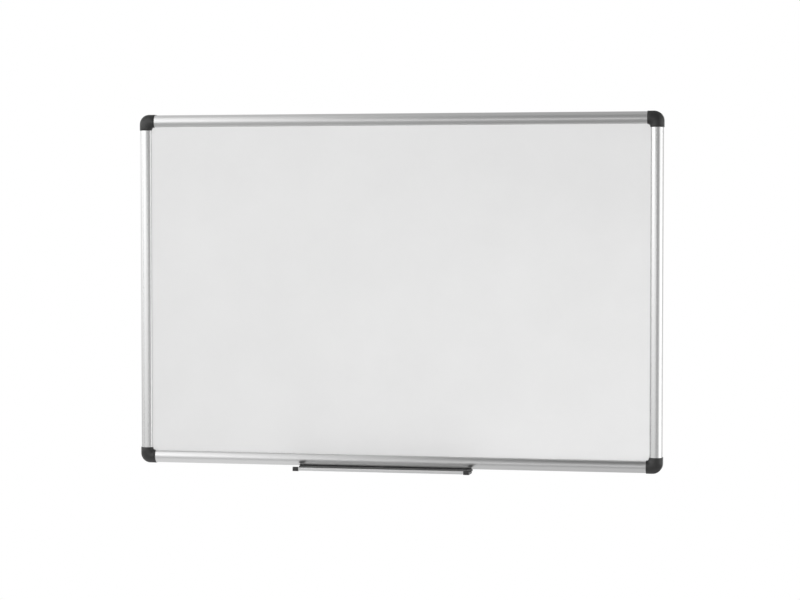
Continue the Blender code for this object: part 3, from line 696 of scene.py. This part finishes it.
def card(bm, name, fading, places, glows, clearing=None):
    """A glowing card that only shows in reflections. Its glow fades along an axis between two places."""
    # One with a clearing turns clear where it is seen at a low angle, as a dark matt floor mirrors what is
    # beyond it.
    grey, place = new_finish(name)
    along = add_node(grey, "SeparateXYZ", fading, {"Vector": place})
    glow = add_node(grey, "MapRange", "Result", {"Value": along, "From Min": places[0], "From Max": places[1],
                                                 "To Min": glows[0], "To Max": glows[1]},
                    interpolation_type="SMOOTHSTEP")
    surface = add_node(grey, "Emission", "Emission", {"Strength": glow})
    if clearing:
        facing = add_node(grey, "LayerWeight", "Facing", {"Blend": 0.5})
        clear = add_node(grey, "MapRange", "Result", {"Value": facing, "From Min": clearing[0],
                                                      "From Max": clearing[1]})
        surface = add_node(grey, "MixShader", 0, {0: clear, 1: surface,
                                                  2: add_node(grey, "BsdfTransparent", "BSDF", {})})
    feed(grey, grey.node_tree.nodes["Material Output"], {"Surface": surface})
    mesh = bpy.data.meshes.new(name)
    bm.to_mesh(mesh)
    bm.free()
    mesh.materials.append(grey)
    item = bpy.data.objects.new(name, mesh)
    item.visible_camera = item.visible_diffuse = item.visible_shadow = False
    bpy.context.collection.objects.link(item)


# Curved cards: the axis and radius, two ends along the axis and two turns round it in degrees, then the axis
# that the glow fades along, its two places, the glow at each, and the clearing.
CARD_STEPS = 24
CURVED = [("left_side_card", "Z", 6.0, (-3.0, 3.0), (-110, -86), "Z", (-1.4, 0.9), (0.65, 1.4), None),
          ("left_card", "Z", 6.0, (-3.0, 3.0), (-86, -17), "Z", (-1.4, 0.9), (0.80, 2.0), None),
          ("dark_screen", "Z", 0.5, (-0.45, 0.45), (-85, -56), "Z", (-0.4, 0.4), (0.15, 0.15), (0.04, 0.11)),
          ("horizon_card", "Z", 6.0, (-1.15, 0.30), (-17, 12), "Z", (-1.4, 0.9), (0.85, 1.70), None),
          ("front_card", "Z", 6.1, (-3.0, 0.8), (-18, 20), "X", (-1.9, -0.9), (0.80, 0.45), None),
          ("dark_card", "Z", 2.1, (-1.0, 1.2), (18, 57), "Z", (-0.55, 0.4), (0.60, 0.42), None),
          ("right_card", "Z", 6.0, (-1.5, 2.0), (60, 108), "Z", (-1.0, 1.0), (1.9, 1.7), None),
          ("right_side_card", "Z", 6.0, (-3.0, 3.0), (108, 175), "Z", (-1.0, 1.0), (0.8, 0.7), None),
          ("hood", "X", 6.0, (-6.0, 6.0), (8, 60), "X", (-2.6, -0.9), (1.8, 0.32), None),
          ("back_card", "X", 6.0, (-6.0, 6.0), (60, 150), "X", (-2.2, -0.6), (0.82, 0.56), None)]
for name, axis, radius, ends, turns, fading, places, glows, clearing in CURVED:
    line = Vector((0, 0, 1)) if axis == "Z" else Vector((1, 0, 0))
    sense = 1 if axis == "Z" else -1
    bm = bmesh.new()
    corners = [bm.verts.new(Vector((0, -radius, 0)) + line * end) for end in ends]
    edge = bm.edges.new(corners)
    first, last = (sense * math.radians(turn) for turn in turns)
    bmesh.ops.rotate(bm, verts=corners, cent=(0, 0, 0), matrix=Matrix.Rotation(first, 3, line))
    bmesh.ops.spin(bm, geom=corners + [edge], axis=line, cent=(0, 0, 0), steps=CARD_STEPS, angle=last - first)
    card(bm, name, fading, places, glows, clearing)

# Flat cards, lying: their height, two ends along X and two along Y, then the two places along X between which
# the glow fades, the glow at each, and the clearing.
LYING = [("near_card", -0.41, (-0.9, 0.6), (-0.20, 0.15), (-0.4, 0.3), (0.97, 0.74), None),
         ("dark_mat", -0.43, (-6.0, 6.0), (-6.0, 0.0), (-0.6, 0.2), (0.54, 0.37), (0.70, 0.84)),
         ("dark_canopy", 0.36, (-0.15, 0.9), (-1.2, -0.10), (-0.15, 0.25), (0.34, 0.18), (0.30, 0.55))]
for name, height, across, ahead, places, glows, clearing in LYING:
    bm = bmesh.new()
    bmesh.ops.create_grid(bm, x_segments=1, y_segments=1, size=0.5)
    bmesh.ops.scale(bm, verts=bm.verts, vec=(across[1] - across[0], ahead[1] - ahead[0], 1))
    bmesh.ops.translate(bm, verts=bm.verts, vec=(sum(across) / 2, sum(ahead) / 2, height))
    card(bm, name, "X", places, glows, clearing)

# Soft lamps, all from the front so that the frame throws no hard shade: power, size and place.
LAMPS = [("front_lamp", 63, 3.0, (-0.3, -4.5, 0.6)),
         ("left_lamp", 5.5, 0.8, (-0.8, -1.8, 0.3)),
         ("low_right_lamp", 3.6, 0.6, (0.75, -1.1, -0.45))]
for name, watts, size, spot in LAMPS:
    lamp = bpy.data.lights.new(name, "AREA")
    lamp.shape, lamp.size, lamp.energy = "SQUARE", size, watts
    item = bpy.data.objects.new(name, lamp)
    item.location = spot
    item.rotation_euler = (-Vector(spot)).to_track_quat("-Z", "Y").to_euler()
    item.visible_camera = item.visible_glossy = False
    bpy.context.collection.objects.link(item)

# Camera, from the photograph's straight edges: a long lens, right of the board and a little above its middle.
FOCAL_PIXELS = 2299
IMAGE_WIDTH = 800
SENSOR_WIDTH = 36
CAMERA_PLACE = (0.7818, -3.8109, 0.1371)
CAMERA_DIP, CAMERA_TURN = 2.251, 11.53      # degrees below the horizontal, and to the left
camera = bpy.data.objects.new("camera", bpy.data.cameras.new("camera"))
camera.data.sensor_width = SENSOR_WIDTH
camera.data.lens = SENSOR_WIDTH * FOCAL_PIXELS / IMAGE_WIDTH
camera.location = CAMERA_PLACE
camera.rotation_euler = (math.radians(90 - CAMERA_DIP), 0, math.radians(CAMERA_TURN))
bpy.context.collection.objects.link(camera)
bpy.context.scene.camera = camera
bpy.context.scene.view_settings.view_transform = "Standard"
